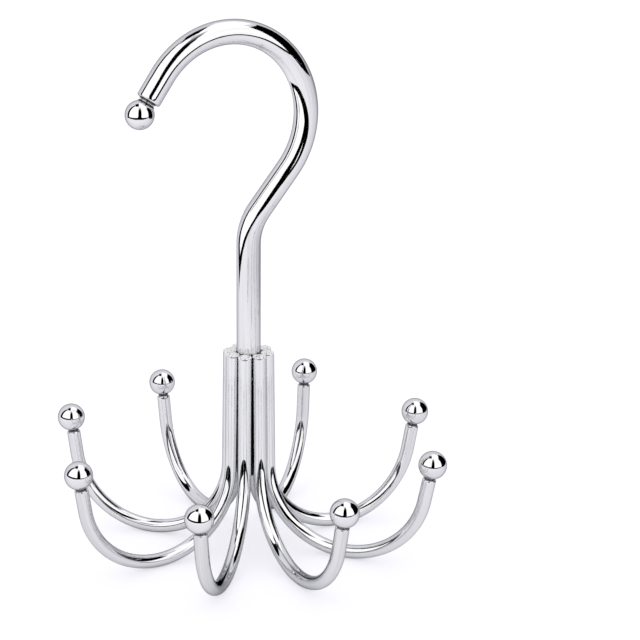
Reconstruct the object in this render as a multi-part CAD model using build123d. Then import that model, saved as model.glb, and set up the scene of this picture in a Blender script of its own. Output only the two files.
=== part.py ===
"""Tie hanger: a big hook rod, eight J-shaped arm rods welded round its shank, and a ball on every tip.

Millimetres, +Z up. The origin is on the shank's axis, level with the lowest points of the eight arms,
so the hanger stands on the plane z = 0. The hook lies in the XZ plane and its tip points towards -X.
"""

import os
from math import cos, radians, sin, sqrt

from build123d import *

# Hook rod, from its foot inside the bundle to its tip
hook_wire = 7.0  # diameter of the rod
shank_grip = 32.0  # how far the shank reaches down into the bundle
shank_rise = 32.5  # straight shank that shows above the bundle
s_bend_radius = 15.0  # centre line of the bend that carries the shank off its axis
s_bend_turn = 40.0  # degrees, away from the tip
slope_run = 14.3  # straight stretch between the two bends
arch_bore = 42.5  # inside diameter of the arch, where the closet rod lies
arch_turn = 185.0  # degrees, back over the axis and down to the tip
hook_tip_run = 7.7  # straight end before the ball
hook_foot_chamfer = 0.5  # broken edge of the cut foot
hook_end_round = 0.6  # rounded edge of the cut tip

# Arm rods, from the cut top of the bundle down, round the U bend and up to the tip
arm_wire = 4.0  # diameter of the rod
bundle_length = 35.5  # straight stretch beside the shank
bundle_splay = 0.8  # degrees, each rod leans away from the shank below its weld
u_bend_radius = 24.3  # centre line of the U bend
arm_tip_run = 7.4  # straight end before the ball
arm_top_chamfer = 0.35  # broken edge of the cut top
arm_end_round = 0.4  # rounded edge of the cut tip
shank_gap = 0.05  # between an arm rod and the shank, and between two rods at the least

# The rods were bent and welded by hand, so every arm has a turn about its own rod, counted from straight
# out, and its tip leans out by an angle of its own. The table runs anticlockwise, seen from above.
first_rod_azimuth = 5.75  # degrees from +X
arm_turns = (-10.5, -8.5, -4.5, -4.5, -2.5, -2.5, -7.0, -10.0)  # degrees
arm_leans = (10.5, 5.0, 10.5, 7.5, 8.5, 12.0, 13.0, 10.5)  # degrees from upright

# Balls and the weld metal that holds them
ball_diameter = 8.2
weld_root = 0.3  # weld metal between a rod's cut end and the ball, on the axis
hook_neck_inset = 1.0  # from the side of the hook rod in to the side of its weld
arm_neck_inset = 0.4  # from the side of an arm rod in to the side of its weld
neck_waist = 0.15  # how far the weld's side is hollowed

# Weld fillets in the valleys between the shank and two arm rods
fillet_recess = 1.5  # below the top of the bundle
fillet_length = 8.0
fillet_bite = 0.35  # how much wider the weld is than the round gap that it fills

# Worked out from the sizes above
arm_count = len(arm_turns)
half_pitch = radians(180 / arm_count)
hook_radius = hook_wire / 2
arm_radius = arm_wire / 2
ball_radius = ball_diameter / 2
arch_radius = arch_bore / 2 + hook_radius
on_shank = hook_radius + shank_gap + arm_radius
side_by_side = (arm_wire + shank_gap) / (2 * sin(half_pitch))
ring_radius = max(on_shank, side_by_side)
splay = radians(bundle_splay)
bundle_top = arm_radius + u_bend_radius * (1 - sin(splay)) + bundle_length * cos(splay)
shank_foot = bundle_top - shank_grip


def bent_path(heading, moves):
    """A flat path from the local origin, in straight runs (a number) and bends (a radius and a left turn)."""
    path = []
    point = Vector(0, 0)
    for move in moves:
        if isinstance(move, tuple):
            radius, turn = move
            edge = JernArc(point, heading, radius, turn)
        else:
            edge = Line(point, point + heading * move)
        path.append(edge)
        point, heading = edge @ 1, edge % 1
    return Wire(path)


def upright(shape):
    """Stands a flat shape up: its +X stays, and its +Y becomes +Z."""
    return Rot(90, 0, 0) * shape


def cut_end(rod, point):
    """The edges of the rod's flat end at a point."""
    return rod.faces().filter_by(GeomType.PLANE).sort_by_distance(point)[0].edges()


def bent_rod(wire, path, start_chamfer, end_round):
    """A round rod along a path, with a broken edge at its start and a rounded one at its end."""
    section = Plane(origin=path @ 0, z_dir=path % 0) * Circle(wire / 2)
    rod = sweep(section, path=path)
    rod = chamfer(cut_end(rod, path @ 0), start_chamfer)
    return fillet(cut_end(rod, path @ 1), end_round)


def ball_and_weld(path, neck):
    """The ball in line with a rod's end, and the hollow-sided weld of radius neck that joins the two."""
    tip = Plane(origin=path @ 1, z_dir=path % 1)
    seat = weld_root + ball_radius
    ball = tip * Pos(0, 0, seat) * Sphere(ball_radius)
    rim = seat - sqrt(ball_radius**2 - neck**2)
    side = ThreePointArc((neck, 0), (neck - neck_waist, rim / 2), (neck, rim))
    cup = RadiusArc((neck, rim), (0, weld_root), ball_radius)
    profile = make_face([Line((0, weld_root), (0, 0)), Line((0, 0), (neck, 0)), side, cup])
    return ball, tip * revolve(upright(profile), Axis.Z)


def hook():
    """The hook rod with its ball and weld."""
    moves = (
        shank_grip + shank_rise,
        (s_bend_radius, -s_bend_turn),
        slope_run,
        (arch_radius, arch_turn),
        hook_tip_run,
    )
    path = Pos(0, 0, shank_foot) * upright(bent_path(Vector(0, 1), moves))
    rod = bent_rod(hook_wire, path, hook_foot_chamfer, hook_end_round)
    return rod, *ball_and_weld(path, hook_radius - hook_neck_inset)


def arm(azimuth, turn, lean):
    """One arm rod with its ball and weld. Its J lies in a plane that is turned about the rod itself."""
    moves = (bundle_length, (u_bend_radius, 180 - bundle_splay - lean), arm_tip_run)
    flat = upright(bent_path(Vector(sin(splay), -cos(splay)), moves))
    place = Rot(0, 0, azimuth) * Pos(ring_radius, 0, bundle_top) * Rot(0, 0, turn)
    path = place * flat
    rod = bent_rod(arm_wire, path, arm_top_chamfer, arm_end_round)
    return rod, *ball_and_weld(path, arm_radius - arm_neck_inset)


def bundle_weld(azimuth, neighbours):
    """The weld fillet in the valley between the shank and two arm rods."""
    step = arm_radius - hook_radius
    valley = (ring_radius**2 - step**2) / (2 * (ring_radius * cos(half_pitch) + step))
    bead = Cylinder(valley - hook_radius + fillet_bite, fillet_length)
    height = bundle_top - fillet_recess - fillet_length / 2
    bead = Rot(0, 0, azimuth) * Pos(valley, 0, height) * bead
    return bead - neighbours


parts = {}
parts["hook_rod"], parts["hook_ball"], parts["hook_ball_weld"] = hook()

pitch = 360 / arm_count
for index, (turn, lean) in enumerate(zip(arm_turns, arm_leans)):
    pieces = arm(first_rod_azimuth + index * pitch, turn, lean)
    for kind, piece in zip(("rod", "ball", "ball_weld"), pieces):
        parts[f"arm_{kind}_{index + 1}"] = piece

for index in range(arm_count):
    rods = [parts[f"arm_rod_{number % arm_count + 1}"] for number in (index, index + 1)]
    azimuth = first_rod_azimuth + (index + 0.5) * pitch
    parts[f"bundle_weld_{index + 1}"] = bundle_weld(azimuth, [parts["hook_rod"], *rods])

os.makedirs("parts", exist_ok=True)
for name, part in parts.items():
    part.label = name
    export_step(part, f"parts/{name}.step")

print(f"{len(parts)} parts, bundle top at {bundle_top:.2f}, ring radius {ring_radius:.2f}")
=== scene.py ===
import cmath
from functools import lru_cache
from math import ceil, cos, pi, radians, sin, sqrt

import bpy
from mathutils import Matrix, Vector, noise


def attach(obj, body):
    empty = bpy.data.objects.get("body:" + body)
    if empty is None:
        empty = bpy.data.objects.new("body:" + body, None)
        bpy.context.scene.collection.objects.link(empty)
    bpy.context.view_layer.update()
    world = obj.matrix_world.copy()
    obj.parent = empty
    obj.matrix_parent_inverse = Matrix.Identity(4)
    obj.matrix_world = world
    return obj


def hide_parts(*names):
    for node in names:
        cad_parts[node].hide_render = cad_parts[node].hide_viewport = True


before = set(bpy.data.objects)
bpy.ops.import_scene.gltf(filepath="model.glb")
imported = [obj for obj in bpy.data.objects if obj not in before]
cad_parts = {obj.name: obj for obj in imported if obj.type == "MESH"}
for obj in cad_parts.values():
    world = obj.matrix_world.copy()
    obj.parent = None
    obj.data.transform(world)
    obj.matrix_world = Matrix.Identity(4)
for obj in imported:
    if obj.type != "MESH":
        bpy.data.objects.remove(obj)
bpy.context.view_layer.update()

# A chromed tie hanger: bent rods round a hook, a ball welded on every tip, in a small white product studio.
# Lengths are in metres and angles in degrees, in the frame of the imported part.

# Hook rod, as the part has it
hook_wire = 0.0070
shank_grip = 0.0320
shank_rise = 0.0325
s_bend_radius = 0.0150
s_bend_turn = 40.0
slope_run = 0.0143
arch_bore = 0.0425
arch_turn = 185.0
hook_tip_run = 0.0077
hook_foot_chamfer = 0.0005
hook_end_round = 0.0006

# How much further the shank reaches down here, hidden inside the bundle, which it darkens: that run is
# painted near-black, as painted shade in the gaps between the rods
hook_foot_run = 0.0065

# Arm rods
arm_wire = 0.0040
bundle_length = 0.0355
bundle_splay = 0.8
u_bend_radius = 0.0243
arm_tip_run = 0.0074
arm_top_chamfer = 0.00035
arm_end_round = 0.0004
shank_gap = 0.00005
first_rod_azimuth = 5.75
arm_turns = (-10.5, -8.5, -4.5, -4.5, -2.5, -2.5, -7.0, -10.0)
arm_leans = (10.5, 5.0, 10.5, 7.5, 8.5, 12.0, 13.0, 10.5)

# Balls and welds
ball_diameter = 0.0082
weld_root = 0.0003
hook_neck_inset = 0.0010
arm_neck_inset = 0.0004
fillet_recess = 0.0015
fillet_length = 0.0080
fillet_bite = 0.00035

# Worked out from the sizes above
arm_count = len(arm_turns)
pitch = 360 / arm_count
half_pitch = radians(pitch / 2)
hook_radius = hook_wire / 2
arm_radius = arm_wire / 2
ball_radius = ball_diameter / 2
arch_radius = arch_bore / 2 + hook_radius
ring_radius = max(hook_radius + shank_gap + arm_radius, (arm_wire + shank_gap) / (2 * sin(half_pitch)))
splay = radians(bundle_splay)
bundle_top = arm_radius + u_bend_radius * (1 - sin(splay)) + bundle_length * cos(splay)
shank_foot = bundle_top - shank_grip


# Paths: flat, in a plane that stands on the floor. A place is a complex number, out from the shank and up.

def walk(start, heading, moves, distance):
    """The place and heading at a distance along straight runs (lengths) and bends (a radius, a left turn)."""
    place = start
    for index, move in enumerate(moves):
        bend = isinstance(move, tuple)
        length = move[0] * radians(abs(move[1])) if bend else move
        last = index == len(moves) - 1
        part = distance if last or distance < length else length
        if bend:
            side = 1j if move[1] > 0 else -1j
            turn = cmath.exp(side * part / move[0])
            centre = place + side * heading * move[0]
            place = centre + (place - centre) * turn
            heading = heading * turn
        else:
            place = place + heading * part
        if part < length or last:
            return place, heading
        distance -= length


def path_length(moves):
    return sum(move[0] * radians(abs(move[1])) if isinstance(move, tuple) else move for move in moves)


hook_moves = (
    hook_foot_run + shank_grip + shank_rise,
    (s_bend_radius, -s_bend_turn),
    slope_run,
    (arch_radius, arch_turn),
    hook_tip_run,
)
hook_start = complex(0, shank_foot - hook_foot_run)
hook_heading = 1j
hook_place = Matrix.Identity(4)


def arm_moves(lean):
    return bundle_length, (u_bend_radius, 180 - bundle_splay - lean), arm_tip_run


arm_heading = cmath.exp(1j * (splay - pi / 2))


def arm_place(index):
    """Where the flat plane of an arm stands: turned about the arm's own rod in the ring."""
    ring = Matrix.Rotation(radians(first_rod_azimuth + index * pitch), 4, "Z")
    return (ring @ Matrix.Translation((ring_radius, 0, bundle_top))
            @ Matrix.Rotation(radians(arm_turns[index]), 4, "Z"))


# Meshes: how many rings and sides the round pieces have

ring_step = 0.0007
hook_sides = 96
arm_sides = 64
ball_rings = 48
ball_sides = 64
ball_weld_rings = 20
ball_weld_sides = 48
fillet_rings = 24
fillet_sides = 24
cap_shares = (0.0, 0.3, 0.6, 0.85)
edge_steps = 4


def mesh_piece(name, vertices, faces, coordinates, material, slot, stands_for, eased=None):
    """A smooth piece that rides on the hanger's one body. Its coordinates are its places on the unbent rod.

    eased gives the turn of the shading normals at a distance along the rod, and changes no shape.
    """
    mesh = bpy.data.meshes.new(name)
    mesh.from_pydata(vertices, [], faces)
    mesh.validate()
    mesh.polygons.foreach_set("use_smooth", [True] * len(mesh.polygons))
    unbent = mesh.attributes.new("unbent", "FLOAT_VECTOR", "POINT")
    unbent.data.foreach_set("vector", [value for place in coordinates for value in place])
    mesh.update()
    if eased:
        turned = [eased(place.z) @ vertex.normal for place, vertex in zip(coordinates, mesh.vertices)]
        mesh.normals_split_custom_set_from_vertices(turned)
    piece = bpy.data.objects.new(name, mesh)
    bpy.context.collection.objects.link(piece)
    piece.data.materials.append(material)
    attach(piece, "root")
    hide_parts(stands_for)


def lathe(stations, sides, ring_at, bump=None):
    """Rings of vertices. A station is a distance along the path and a radius. A radius of zero is one vertex.

    ring_at gives a centre and two directions across the path there. bump gives a small move outwards for a
    place on the unbent rod.
    """
    vertices, coordinates, rings = [], [], []
    for distance, radius in stations:
        centre, across, sideways = ring_at(distance)
        count = sides if radius > 0 else 1
        ring = []
        for step in range(count):
            angle = 2 * pi * step / sides
            out = across * cos(angle) + sideways * sin(angle)
            place = Vector((radius * cos(angle), radius * sin(angle), distance))
            extra = bump(place, radius) if bump and radius > 0 else 0
            ring.append(len(vertices))
            vertices.append(centre + out * (radius + extra))
            coordinates.append(place)
        rings.append(ring)
    faces = []
    for near, far in zip(rings, rings[1:]):
        for step in range(sides):
            after = (step + 1) % sides
            if len(near) == 1:
                faces.append((near[0], far[after], far[step]))
            elif len(far) == 1:
                faces.append((near[step], near[after], far[0]))
            else:
                faces.append((near[step], near[after], far[after], far[step]))
    return vertices, faces, coordinates


def rod_stations(length, radius, start_round, end_round):
    """A closed rod: flat ends of several rings, rounded edges, and rings along the length."""
    stations = [(0, share * (radius - start_round)) for share in cap_shares]
    for count in range(edge_steps + 1):
        angle = pi / 2 * count / edge_steps
        stations.append((start_round * (1 - cos(angle)), radius - start_round * (1 - sin(angle))))
    middle = length - start_round - end_round
    rings = ceil(middle / ring_step)
    stations += [(start_round + middle * count / rings, radius) for count in range(1, rings)]
    for count in range(edge_steps + 1):
        angle = pi / 2 * count / edge_steps
        stations.append((length - end_round * (1 - sin(angle)), radius - end_round * (1 - cos(angle))))
    stations += [(length, share * (radius - end_round)) for share in reversed(cap_shares)]
    return stations


def path_rings(start, heading, moves, place):
    """A function that gives the ring's centre and directions at a distance along a placed flat path."""
    turn = place.to_3x3()

    def ring_at(distance):
        point, ahead = walk(start, heading, moves, distance)
        across = ahead * -1j
        return (
            place @ Vector((point.real, 0, point.imag)),
            turn @ Vector((across.real, 0, across.imag)),
            turn @ Vector((0, 1, 0)),
        )

    return ring_at


ease_steps = 8


def between(table, distance):
    """The values of a table at a distance, on straight lines between its rows, each led by its distance."""
    if distance <= table[0][0]:
        return table[0][1:]
    for near, far in zip(table, table[1:]):
        if distance <= far[0]:
            share = (distance - near[0]) / (far[0] - near[0])
            return [a + (b - a) * share for a, b in zip(near[1:], far[1:])]
    return table[-1][1:]


def eased_bends(start, heading, moves, place, reaches, lead, sways):
    """The turn from a rod's line to the softened line that its plate mirrors with, at a distance along it.

    The softened line is the mean over a reach on both sides, which changes along the rod, and it leads the
    bends. A hand-bent rod isn't quite true, so its line also sways: sways are rows of a distance, a turn in
    the rod's plane and one out of it.
    """
    turn = place.to_3x3()
    length = path_length(moves)

    def line(distance, in_plane=0.0, out_of_plane=0.0):
        ahead = walk(start, heading, moves, min(max(distance, 0), length))[1]
        ahead *= cmath.exp(-1j * radians(in_plane))
        flat = cos(radians(out_of_plane))
        return turn @ Vector((ahead.real * flat, sin(radians(out_of_plane)), ahead.imag * flat))

    @lru_cache(maxsize=None)
    def turn_at(distance):
        mean = Vector()
        reach = between(reaches, distance)[0]
        for count in range(-ease_steps, ease_steps + 1):
            spot = distance + lead + reach * count / ease_steps
            mean += line(spot, *between(sways, spot))
        return line(distance).rotation_difference(mean)

    return turn_at


def ridge(place, size, seed):
    """Smooth noise between -1 and 1, with features of about the given size."""
    return noise.noise(place / size + Vector((seed, seed * 0.7, seed * 1.3)))


# Materials. Noise scales are per metre on the unbent rod, twice across it and once along it.

streak_scale = (1300, 1300, 18)
streak_edges = (0.36, 0.52)
dull_streak = 0.88
# Near-black spots on a sawn face are painted shade in its pits
pit_shade_scale = (1500, 1500, 1)
pit_shade_edges = (0.34, 0.44)
sawn_depths = (0.0003, 0.0005)
# The painted shade on the shank: the width of its blend, and how far below the bundle's top it ends
shade_edge_blend = 0.0004
shade_below_bundle_top = 0.0005
haze_scale = (900, 900, 250)
haze_edges = (0.35, 0.75)
drawn_line_scale = (3500, 3500, 60)
drawn_line_depth = 0.00002
wave_scale = (450, 450, 220)
wave_depth = 0.00005
bead_roughness = 0.12
# Along the hook's weld neck: the near-black ends are painted shade where it meets the rod and the ball
bead_and_groove_shade_tones = ((0.18, 0.03), (0.32, 0.80), (0.50, 0.80), (0.66, 0.05))
groove_shade = (0.02, 0.02, 0.02)
pebble_gloss_share = 0.45
pebble_depth = 0.00012
# Painted shade: a dark grey edge tint darkens the plate's rims
rim_shade_tint = (0.35, 0.35, 0.37)
# Near-black painted shade, in pits and on the shank's run hidden inside the bundle
shade_black = (0.03, 0.03, 0.03)
# A sawn face's matt grey, painted paler as painted light from above
sawn_grey_with_painted_light = (0.90, 0.90, 0.91)


def shader_nodes(name):
    material = bpy.data.materials.new(name)
    material.use_nodes = True
    nodes = material.node_tree.nodes
    return material, nodes, material.node_tree.links, nodes["Principled BSDF"]


def mixed(nodes, links, share, first, second):
    """A colour between two colours. A colour is given as it is, or as a socket."""
    mix = nodes.new("ShaderNodeMix")
    mix.data_type = "RGBA"
    links.new(share, mix.inputs[0])
    for socket, colour in ((mix.inputs[6], first), (mix.inputs[7], second)):
        if isinstance(colour, tuple):
            socket.default_value = (*colour, 1)
        else:
            links.new(colour, socket)
    return mix.outputs[2]


def two_tones(nodes, links, share, edges, dark, light):
    """A dark colour up to the first edge of a share, a light one from the second, and a blend in between."""
    tone = nodes.new("ShaderNodeValToRGB")
    for element, position, colour in zip(tone.color_ramp.elements, edges, (dark, light)):
        element.position = position
        element.color = (*colour, 1)
    links.new(share, tone.inputs["Fac"])
    return tone.outputs["Color"]


def stretched(nodes, links, value, from_range, to_range=(0.0, 1.0)):
    """A value mapped from one range to another, and held at its ends."""
    scale = nodes.new("ShaderNodeMapRange")
    scale.inputs["From Min"].default_value = from_range[0]
    scale.inputs["From Max"].default_value = from_range[1]
    scale.inputs["To Min"].default_value = to_range[0]
    scale.inputs["To Max"].default_value = to_range[1]
    links.new(value, scale.inputs["Value"])
    return scale.outputs["Result"]


def bumped(nodes, links, height, strength, depth):
    bump = nodes.new("ShaderNodeBump")
    bump.inputs["Strength"].default_value = strength
    bump.inputs["Distance"].default_value = depth
    links.new(height, bump.inputs["Height"])
    return bump


def unbent_place(nodes):
    """Where a point was on the rod before it was bent."""
    place = nodes.new("ShaderNodeAttribute")
    place.attribute_name = "unbent"
    return place.outputs["Vector"]


def z_part(nodes, links, vector):
    """The Z part of a vector."""
    parts = nodes.new("ShaderNodeSeparateXYZ")
    links.new(vector, parts.inputs["Vector"])
    return parts.outputs["Z"]


def chrome(name, colour, roughness, streaks, ripple, painted_shade_run=0.0):
    """Bright plate: faint lines along the drawn rod under it, and a slow ripple that bends reflections.

    streaks is how strong those lines are, and 0 for a ball. The last argument is the length from the rod's
    start that is painted near-black, as painted shade where the rod is hidden inside the bundle. The rod's
    face at its start was sawn, so it is a matt pale grey with pits: the grey is painted paler, as painted
    light from above, and the pits are near-black, as painted shade.
    """
    material, nodes, links, shader = shader_nodes(name)
    # Painted shade on the rims: the dark edge tint darkens reflections at grazing angles
    shader.inputs["Specular Tint"].default_value = (*rim_shade_tint, 1)
    place = unbent_place(nodes)

    def noise_at(scale, detail):
        stretch = nodes.new("ShaderNodeMapping")
        stretch.inputs["Scale"].default_value = scale
        texture = nodes.new("ShaderNodeTexNoise")
        texture.inputs["Scale"].default_value = 1
        texture.inputs["Detail"].default_value = detail
        links.new(place, stretch.inputs["Vector"])
        links.new(stretch.outputs["Vector"], texture.inputs["Vector"])
        return texture.outputs["Fac"]

    if streaks:
        along = z_part(nodes, links, place)
        past_sawn = stretched(nodes, links, along, sawn_depths)
        links.new(past_sawn, shader.inputs["Metallic"])
        dull = tuple(part * dull_streak for part in colour)
        plated = two_tones(nodes, links, noise_at(streak_scale, 2), streak_edges, dull, colour)
        # A sawn face: its grey painted paler as light from above, with near-black spots as painted shade in
        # its pits
        sawn_face_light_and_pit_shade = two_tones(nodes, links, noise_at(pit_shade_scale, 2), pit_shade_edges, shade_black, sawn_grey_with_painted_light)
        # Painted shade: the rod is near-black up to the end of the given run, where it is hidden inside the
        # bundle
        if painted_shade_run:
            out_of_shade = stretched(nodes, links, along, (painted_shade_run - shade_edge_blend, painted_shade_run + shade_edge_blend))
            plated = mixed(nodes, links, out_of_shade, shade_black, plated)
        links.new(mixed(nodes, links, past_sawn, sawn_face_light_and_pit_shade, plated), shader.inputs["Base Color"])
    else:
        shader.inputs["Metallic"].default_value = 1
        shader.inputs["Base Color"].default_value = (*colour, 1)

    haze = stretched(nodes, links, noise_at(haze_scale, 3), haze_edges, (roughness, roughness * 2))
    links.new(haze, shader.inputs["Roughness"])
    lines = bumped(nodes, links, noise_at(drawn_line_scale, 2), streaks, drawn_line_depth)
    waves = bumped(nodes, links, noise_at(wave_scale, 1), ripple, wave_depth)
    links.new(lines.outputs["Normal"], waves.inputs["Normal"])
    links.new(waves.outputs["Normal"], shader.inputs["Normal"])
    return material


def weld_bead(name, length):
    """A polished weld bead round a neck of the given length, with near-black bands at both ends as painted
    shade.
    """
    material, nodes, links, shader = shader_nodes(name)
    shader.inputs["Metallic"].default_value = 1
    shader.inputs["Roughness"].default_value = bead_roughness
    share = stretched(nodes, links, z_part(nodes, links, unbent_place(nodes)), (0.0, length))
    tone = nodes.new("ShaderNodeValToRGB")
    for end in tone.color_ramp.elements:
        end.color = (*groove_shade, 1)
    for position, value in bead_and_groove_shade_tones:
        tone.color_ramp.elements.new(position).color = (value, value, value, 1)
    links.new(share, tone.inputs["Fac"])
    links.new(tone.outputs["Color"], shader.inputs["Base Color"])
    return material


def weld_metal(name, dark, light, hollows, roughness, skin_strength):
    """Plated weld metal: duller than the rods, with a fine pebbled skin; its hollows are painted darker, as
    painted shade.

    hollows gives the size of the pebbles, and the two noise values between which the painted shade turns to
    lighter metal.
    """
    material, nodes, links, shader = shader_nodes(name)
    shader.inputs["Metallic"].default_value = 1
    place = nodes.new("ShaderNodeTexCoord")
    pebbles = nodes.new("ShaderNodeTexNoise")
    pebbles.inputs["Detail"].default_value = 4
    links.new(place.outputs["Object"], pebbles.inputs["Vector"])
    size, *edges = hollows
    pebbles.inputs["Scale"].default_value = 1 / size
    grain = pebbles.outputs["Fac"]
    links.new(two_tones(nodes, links, grain, edges, dark, light), shader.inputs["Base Color"])
    rough = stretched(nodes, links, grain, (0.0, 1.0), (roughness, roughness * pebble_gloss_share))
    links.new(rough, shader.inputs["Roughness"])
    skin = bumped(nodes, links, grain, skin_strength, pebble_depth)
    links.new(skin.outputs["Normal"], shader.inputs["Normal"])
    return material


plate = (0.85, 0.85, 0.87)
# Painted shade: the shank is near-black from its foot up to just below the bundle's top
shank_painted_shade_run = hook_foot_run + shank_grip - shade_below_bundle_top
rod_chrome = chrome("chrome_rod", plate, roughness=0.035, streaks=0.25, ripple=0.15)
hook_chrome = chrome("chrome_hook", plate, roughness=0.035, streaks=0.25, ripple=0.15,
                     painted_shade_run=shank_painted_shade_run)
ball_chrome = chrome("chrome_ball", plate, roughness=0.02, streaks=0.0, ripple=0.1)
# Bundle welds: their near-black hollows are painted shade in the valleys between the rods
weld = weld_metal("plated_weld", dark=(0.005, 0.005, 0.005), light=(0.45, 0.45, 0.46),
                  hollows=(0.0008, 0.50, 0.58), roughness=0.25, skin_strength=0.7)
# Ball-neck welds: darker all over, partly duller weld metal and partly painted shade of the crevice between
# rod and ball
neck_weld_with_painted_shade = weld_metal("neck_weld_with_painted_shade", dark=(0.03, 0.03, 0.03), light=(0.30, 0.30, 0.31),
                       hollows=(0.0004, 0.35, 0.60), roughness=0.3, skin_strength=0.3)


# The hanger's pieces

def rod_piece(name, wire, start, heading, moves, place, rounds, sides, ease, metal, node):
    stations = rod_stations(path_length(moves), wire / 2, *rounds)
    made = lathe(stations, sides, path_rings(start, heading, moves, place))
    eased = eased_bends(start, heading, moves, place, *ease)
    mesh_piece(name, *made, metal, "chrome_rod", node, eased)


def ball_stations():
    """A ball from its weld out to its far side, along the rod's line."""
    stations = []
    for count in range(ball_rings + 1):
        angle = pi * count / ball_rings
        radius = ball_radius * sin(angle) if 0 < count < ball_rings else 0
        stations.append((weld_root + ball_radius * (1 - cos(angle)), radius))
    return stations


# Ball welds, in shares of their radius
weld_waist = 0.12
weld_swell = 0.05
weld_lump_size = 0.5
weld_lump_height = 0.03

# Fillets: a length, then shares of their radius and length
fillet_lump_size = 0.0007
fillet_lump_height = 0.25
fillet_end_share = 0.03

# How far the noise moves on from one weld to the next
weld_seed_step = 3.1
fillet_seed_step = 5.3


def neck_length(neck):
    return weld_root + ball_radius - sqrt(ball_radius**2 - neck**2)


def ball_and_weld(name, start, heading, moves, place, neck, metal, nodes):
    """The ball on a rod's tip and the weld that joins them."""
    length = path_length(moves)
    tip = path_rings(start, heading, moves, place)

    def beyond(distance):
        return tip(length + distance)

    ball = lathe(ball_stations(), ball_sides, beyond)
    mesh_piece(f"{name}_ball", *ball, ball_chrome, "chrome_ball", nodes[0])

    rim = neck_length(neck)
    stations = [(0, 0), (0, neck * 0.5), (0, neck * 0.9)]
    for count in range(ball_weld_rings + 1):
        share = count / ball_weld_rings
        waist = weld_waist * sin(pi * share)**2 - weld_swell * sin(2 * pi * share)**2
        stations.append((rim * share, neck * (1 - waist)))
    stations += [(rim, neck * 0.9), (weld_root + 0.2 * (rim - weld_root), neck * 0.4), (weld_root, 0)]

    def lumps(spot, radius):
        return ridge(spot, neck * weld_lump_size, weld_seed_step * len(name)) * neck * weld_lump_height

    made = lathe(stations, ball_weld_sides, beyond, lumps)
    mesh_piece(f"{name}_ball_weld", *made, metal, "plated_weld", nodes[1])


# How the rods' lines are softened and sway where they mirror the room: rows for eased_bends
hook_sways = (
    (0.0385, 0, -4),
    (0.0465, 5, -7),
    (0.0545, 9, -17),
    (0.0625, 14, -28),
    (0.0705, 22, -26),
    (0.0785, 18, -22),
    (0.0865, 8, -19),
    (0.0925, 4, -15),
    (0.0995, 3, -9),
    (0.1065, 8, -8),
    (0.1125, 17, -12),
    (0.1185, 30, -18),
    (0.1235, 29, -15),
    (0.1295, 17, -9),
    (0.1365, 9, -1),
    (0.1445, 6, 3),
    (0.1545, -4, 4),
    (0.1835, 0, 3),
)
hook_ease = (((0, 0.004),), 0.0, hook_sways)
arm_reaches = ((0.060, 0.015), (0.100, 0.006))
arm_lead = 0.003
tip_steeper = 0.3

rod_piece("hanger_hook", hook_wire, hook_start, hook_heading, hook_moves, hook_place,
          (hook_foot_chamfer, hook_end_round), hook_sides, hook_ease, hook_chrome, "hook_rod")
hook_neck = hook_radius - hook_neck_inset
ball_and_weld("hanger_hook", hook_start, hook_heading, hook_moves, hook_place, hook_neck,
              weld_bead("hook_weld_bead", neck_length(hook_neck)), ("hook_ball", "hook_ball_weld"))

for index in range(arm_count):
    name = f"arm_{index + 1}"
    moves = arm_moves(arm_leans[index])
    place = arm_place(index)
    sways = ((0.085, 0, 0), (0.100, -tip_steeper * arm_leans[index], 0))
    rod_piece(f"{name}_wire", arm_wire, 0, arm_heading, moves, place, (arm_top_chamfer, arm_end_round),
              arm_sides, (arm_reaches, arm_lead, sways), rod_chrome, f"arm_rod_{index + 1}")
    ball_and_weld(name, 0, arm_heading, moves, place, arm_radius - arm_neck_inset, neck_weld_with_painted_shade,
                  (f"arm_ball_{index + 1}", f"arm_ball_weld_{index + 1}"))


def bundle_weld(index):
    """Lumpy weld metal in the valley between the shank and two arm rods."""
    step = arm_radius - hook_radius
    valley = (ring_radius**2 - step**2) / (2 * (ring_radius * cos(half_pitch) + step))
    radius = valley - hook_radius + fillet_bite
    turn = Matrix.Rotation(radians(first_rod_azimuth + (index + 0.5) * pitch), 4, "Z")
    top = bundle_top - fillet_recess
    across, sideways = turn @ Vector((1, 0, 0)), turn @ Vector((0, -1, 0))

    def ring_at(distance):
        return turn @ Vector((valley, 0, top - distance)), across, sideways

    def lumps(spot, ring):
        return ridge(spot, fillet_lump_size, index * fillet_seed_step) * radius * fillet_lump_height

    first = fillet_length * fillet_end_share
    run = fillet_length - 2 * first
    stations = [(0, 0), (0, radius * 0.4), (radius * 0.1, radius * 0.8)]
    stations += [(first + run * count / fillet_rings, radius) for count in range(fillet_rings + 1)]
    stations += [(fillet_length, radius * 0.6), (fillet_length, 0)]
    made = lathe(stations, fillet_sides, ring_at, lumps)
    mesh_piece(f"bundle_weld_metal_{index + 1}", *made, weld, "plated_weld", f"bundle_weld_{index + 1}")


for index in range(arm_count):
    bundle_weld(index)


# Camera, fitted to the photograph. The focal length and the shift are shares of its width.

camera_azimuth = -27.95
camera_elevation = 18.43
camera_distance = 0.53275
look_height = 0.07086
focal_share = 1833.74 / 640
axis_shift = (320 - 248.61) / 640
sensor_width = 0.036
nearest = 0.01
farthest = 20


def direction(azimuth, elevation=0.0):
    """The way from the object towards a viewer at an azimuth and elevation."""
    a, e = radians(azimuth), radians(elevation)
    return Vector((sin(a) * cos(e), -cos(a) * cos(e), sin(e)))


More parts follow.
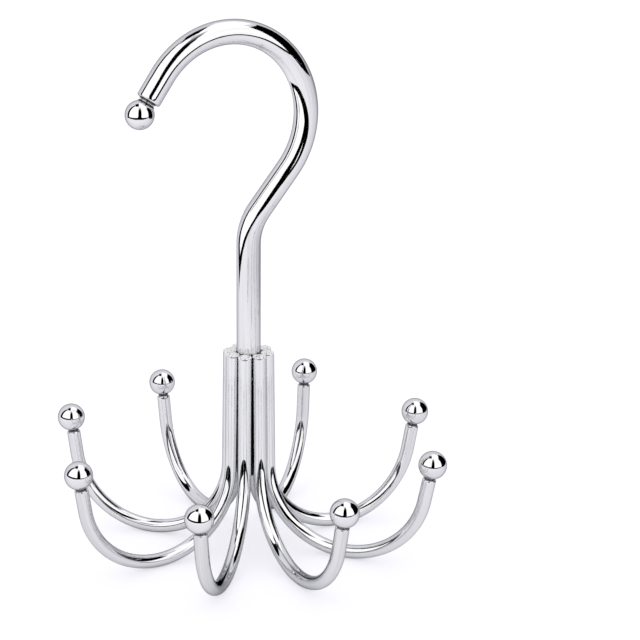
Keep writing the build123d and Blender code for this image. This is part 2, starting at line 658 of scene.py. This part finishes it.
def make_camera():
    data = bpy.data.cameras.new("camera")
    data.sensor_width = sensor_width * 1000
    data.lens = sensor_width * focal_share * 1000
    data.shift_x = axis_shift
    data.clip_start = nearest
    data.clip_end = farthest
    camera = bpy.data.objects.new("camera", data)
    back = direction(camera_azimuth, camera_elevation)
    camera.location = Vector((0, 0, look_height)) + back * camera_distance
    camera.rotation_euler = (-back).to_track_quat("-Z", "Y").to_euler()
    bpy.context.collection.objects.link(camera)
    bpy.context.scene.camera = camera


make_camera()


# Studio: a pale table, white panels in front and overhead, and the black edges between them

def flat_shape(name, corners, material):
    mesh = bpy.data.meshes.new(name)
    mesh.from_pydata(corners, [], [(0, 1, 2, 3)])
    shape = bpy.data.objects.new(name, mesh)
    shape.data.materials.append(material)
    bpy.context.collection.objects.link(shape)
    return shape


def glow(name, strength):
    material = bpy.data.materials.new(name)
    material.use_nodes = True
    nodes = material.node_tree.nodes
    nodes.remove(nodes["Principled BSDF"])
    light = nodes.new("ShaderNodeEmission")
    light.inputs["Color"].default_value = (1, 1, 1, 1)
    light.inputs["Strength"].default_value = strength
    material.node_tree.links.new(light.outputs["Emission"], nodes["Material Output"].inputs["Surface"])
    return material


def fading_glow(name, low, high, strength):
    """Black up to a height, and from there it brightens to a strength at another height."""
    material = glow(name, strength)
    nodes, links = material.node_tree.nodes, material.node_tree.links
    place = nodes.new("ShaderNodeTexCoord")
    height = z_part(nodes, links, place.outputs["Object"])
    fade = stretched(nodes, links, height, (low, high), (0.0, strength))
    links.new(fade, nodes["Emission"].inputs["Strength"])
    return material


white_card = glow("white_card", 1.25)
black_card = glow("black_card", 0.0)
fading_card = fading_glow("fading_card", low=0.75, high=1.75, strength=0.9)


def unseen(shape):
    """Only reflections see the cards."""
    shape.visible_camera = False
    shape.visible_diffuse = False
    shape.visible_transmission = False
    shape.visible_shadow = False


def card(name, turn, material, low, high):
    """A card with a low and a high edge, each given as (distance, height, left, right).

    It faces the hanger from an angle counted from the camera's side towards the camera's right.
    """
    towards = direction(camera_azimuth + turn)
    right = direction(camera_azimuth + turn + 90)
    corners = []
    for (distance, height, left, far_right), order in ((low, (0, 1)), (high, (1, 0))):
        ends = (-left, far_right)
        for end in order:
            corners.append(towards * distance + right * ends[end] + Vector((0, 0, height)))
    unseen(flat_shape(name, corners, material))


def ceiling(name, material, height, left, right, back, front):
    """A level card overhead, from left to right and back to front as the camera sees it."""
    towards = direction(camera_azimuth)
    across = direction(camera_azimuth + 90)
    corners = []
    for x, y in ((left, back), (right, back), (right, front), (left, front)):
        corners.append(across * x + towards * y + Vector((0, 0, height)))
    unseen(flat_shape(name, corners, material))


card("left_panel", -46, white_card, (0.500, 0.000, 0.378, 0.330), (0.500, 1.450, 0.588, 0.585))
card("left_surround", -93, black_card, (0.485, 0.000, 0.062, 0.094), (0.485, 1.090, 0.062, 0.094))
card("right_panel", 45, white_card, (0.500, 0.000, 0.300, 0.225), (0.500, 1.400, 0.215, 0.455))
card("front_gap", 3, fading_card, (0.600, 0.000, 0.250, 0.190), (0.600, 1.750, 0.250, 0.190))
card("black_flag", 103, black_card, (0.469, 0.000, 0.312, 0.266), (0.469, 0.610, 0.231, 0.281))
card("left_floor", -20, black_card, (0.297, 0.002, 0.500, 0.150), (0.600, 0.002, 0.700, 0.300))
card("right_floor", 13, black_card, (0.280, 0.002, 0.150, 0.400), (0.600, 0.002, 0.300, 0.700))
card("flag_floor", 100, black_card, (0.310, 0.002, 0.100, 0.200), (0.460, 0.002, 0.300, 0.260))
card("left_lip", -46, black_card, (0.370, 0.000, 0.400, 0.330), (0.370, 0.068, 0.400, 0.330))
card("right_lip", 45, black_card, (0.484, 0.000, 0.450, 0.350), (0.484, 0.037, 0.450, 0.350))
ceiling("white_ceiling", white_card, height=1.050, left=-0.080, right=0.700, back=-0.550, front=0.350)
ceiling("black_ceiling", black_card, height=1.000, left=-0.410, right=-0.080, back=-0.240, front=0.175)


table_reach = 6.0
table_colour = (0.90, 0.89, 1.0)
# Painted light: in reflections the table is darker at the back and brighter at the front
table_back = (0.76, 0.76, 0.79)
table_front = (0.97, 0.97, 1.0)
table_fade = 0.15
table_fade_turn = -20
table_glow = 1.3
table_glow_share = 0.4
room_colour = (1.0, 1.0, 1.0)
mirrored_room = (0.80, 0.80, 0.83)


def make_table():
    """A white table, which the camera sees pure white with faint shadows.

    In reflections it is a pale lavender grey, brighter towards the front: that brightening is painted light.
    """
    material, nodes, links, shader = shader_nodes("white_table")
    shader.inputs["Roughness"].default_value = 1
    shader.inputs["Specular IOR Level"].default_value = 0
    ray = nodes.new("ShaderNodeLightPath")
    place = nodes.new("ShaderNodeTexCoord")
    ahead = nodes.new("ShaderNodeVectorMath")
    ahead.operation = "DOT_PRODUCT"
    ahead.inputs[1].default_value = direction(camera_azimuth + table_fade_turn)
    links.new(place.outputs["Object"], ahead.inputs[0])
    front = stretched(nodes, links, ahead.outputs["Value"], (-table_fade, table_fade))
    mirrored = mixed(nodes, links, front, table_back, table_front)
    colour = mixed(nodes, links, ray.outputs["Is Glossy Ray"], table_colour, mirrored)
    links.new(colour, shader.inputs["Base Color"])
    white = nodes.new("ShaderNodeEmission")
    white.inputs["Strength"].default_value = table_glow
    share = nodes.new("ShaderNodeMath")
    share.operation = "MULTIPLY"
    share.inputs[1].default_value = table_glow_share
    links.new(ray.outputs["Is Camera Ray"], share.inputs[0])
    seen = nodes.new("ShaderNodeMixShader")
    links.new(share.outputs["Value"], seen.inputs["Fac"])
    links.new(shader.outputs["BSDF"], seen.inputs[1])
    links.new(white.outputs["Emission"], seen.inputs[2])
    links.new(seen.outputs["Shader"], nodes["Material Output"].inputs["Surface"])
    corners = [(table_reach * x, table_reach * y, 0) for x, y in ((-1, -1), (1, -1), (1, 1), (-1, 1))]
    flat_shape("table", corners, material)


def make_world():
    """Even white light. Reflections see a greyer room than the camera and the lit surfaces do."""
    world = bpy.data.worlds.new("studio")
    world.use_nodes = True
    bpy.context.scene.world = world
    nodes, links = world.node_tree.nodes, world.node_tree.links
    ray = nodes.new("ShaderNodeLightPath")
    room = mixed(nodes, links, ray.outputs["Is Glossy Ray"], room_colour, mirrored_room)
    links.new(room, nodes["Background"].inputs["Color"])
    nodes["Background"].inputs["Strength"].default_value = 1


make_table()
make_world()
bpy.context.scene.view_settings.view_transform = "Standard"
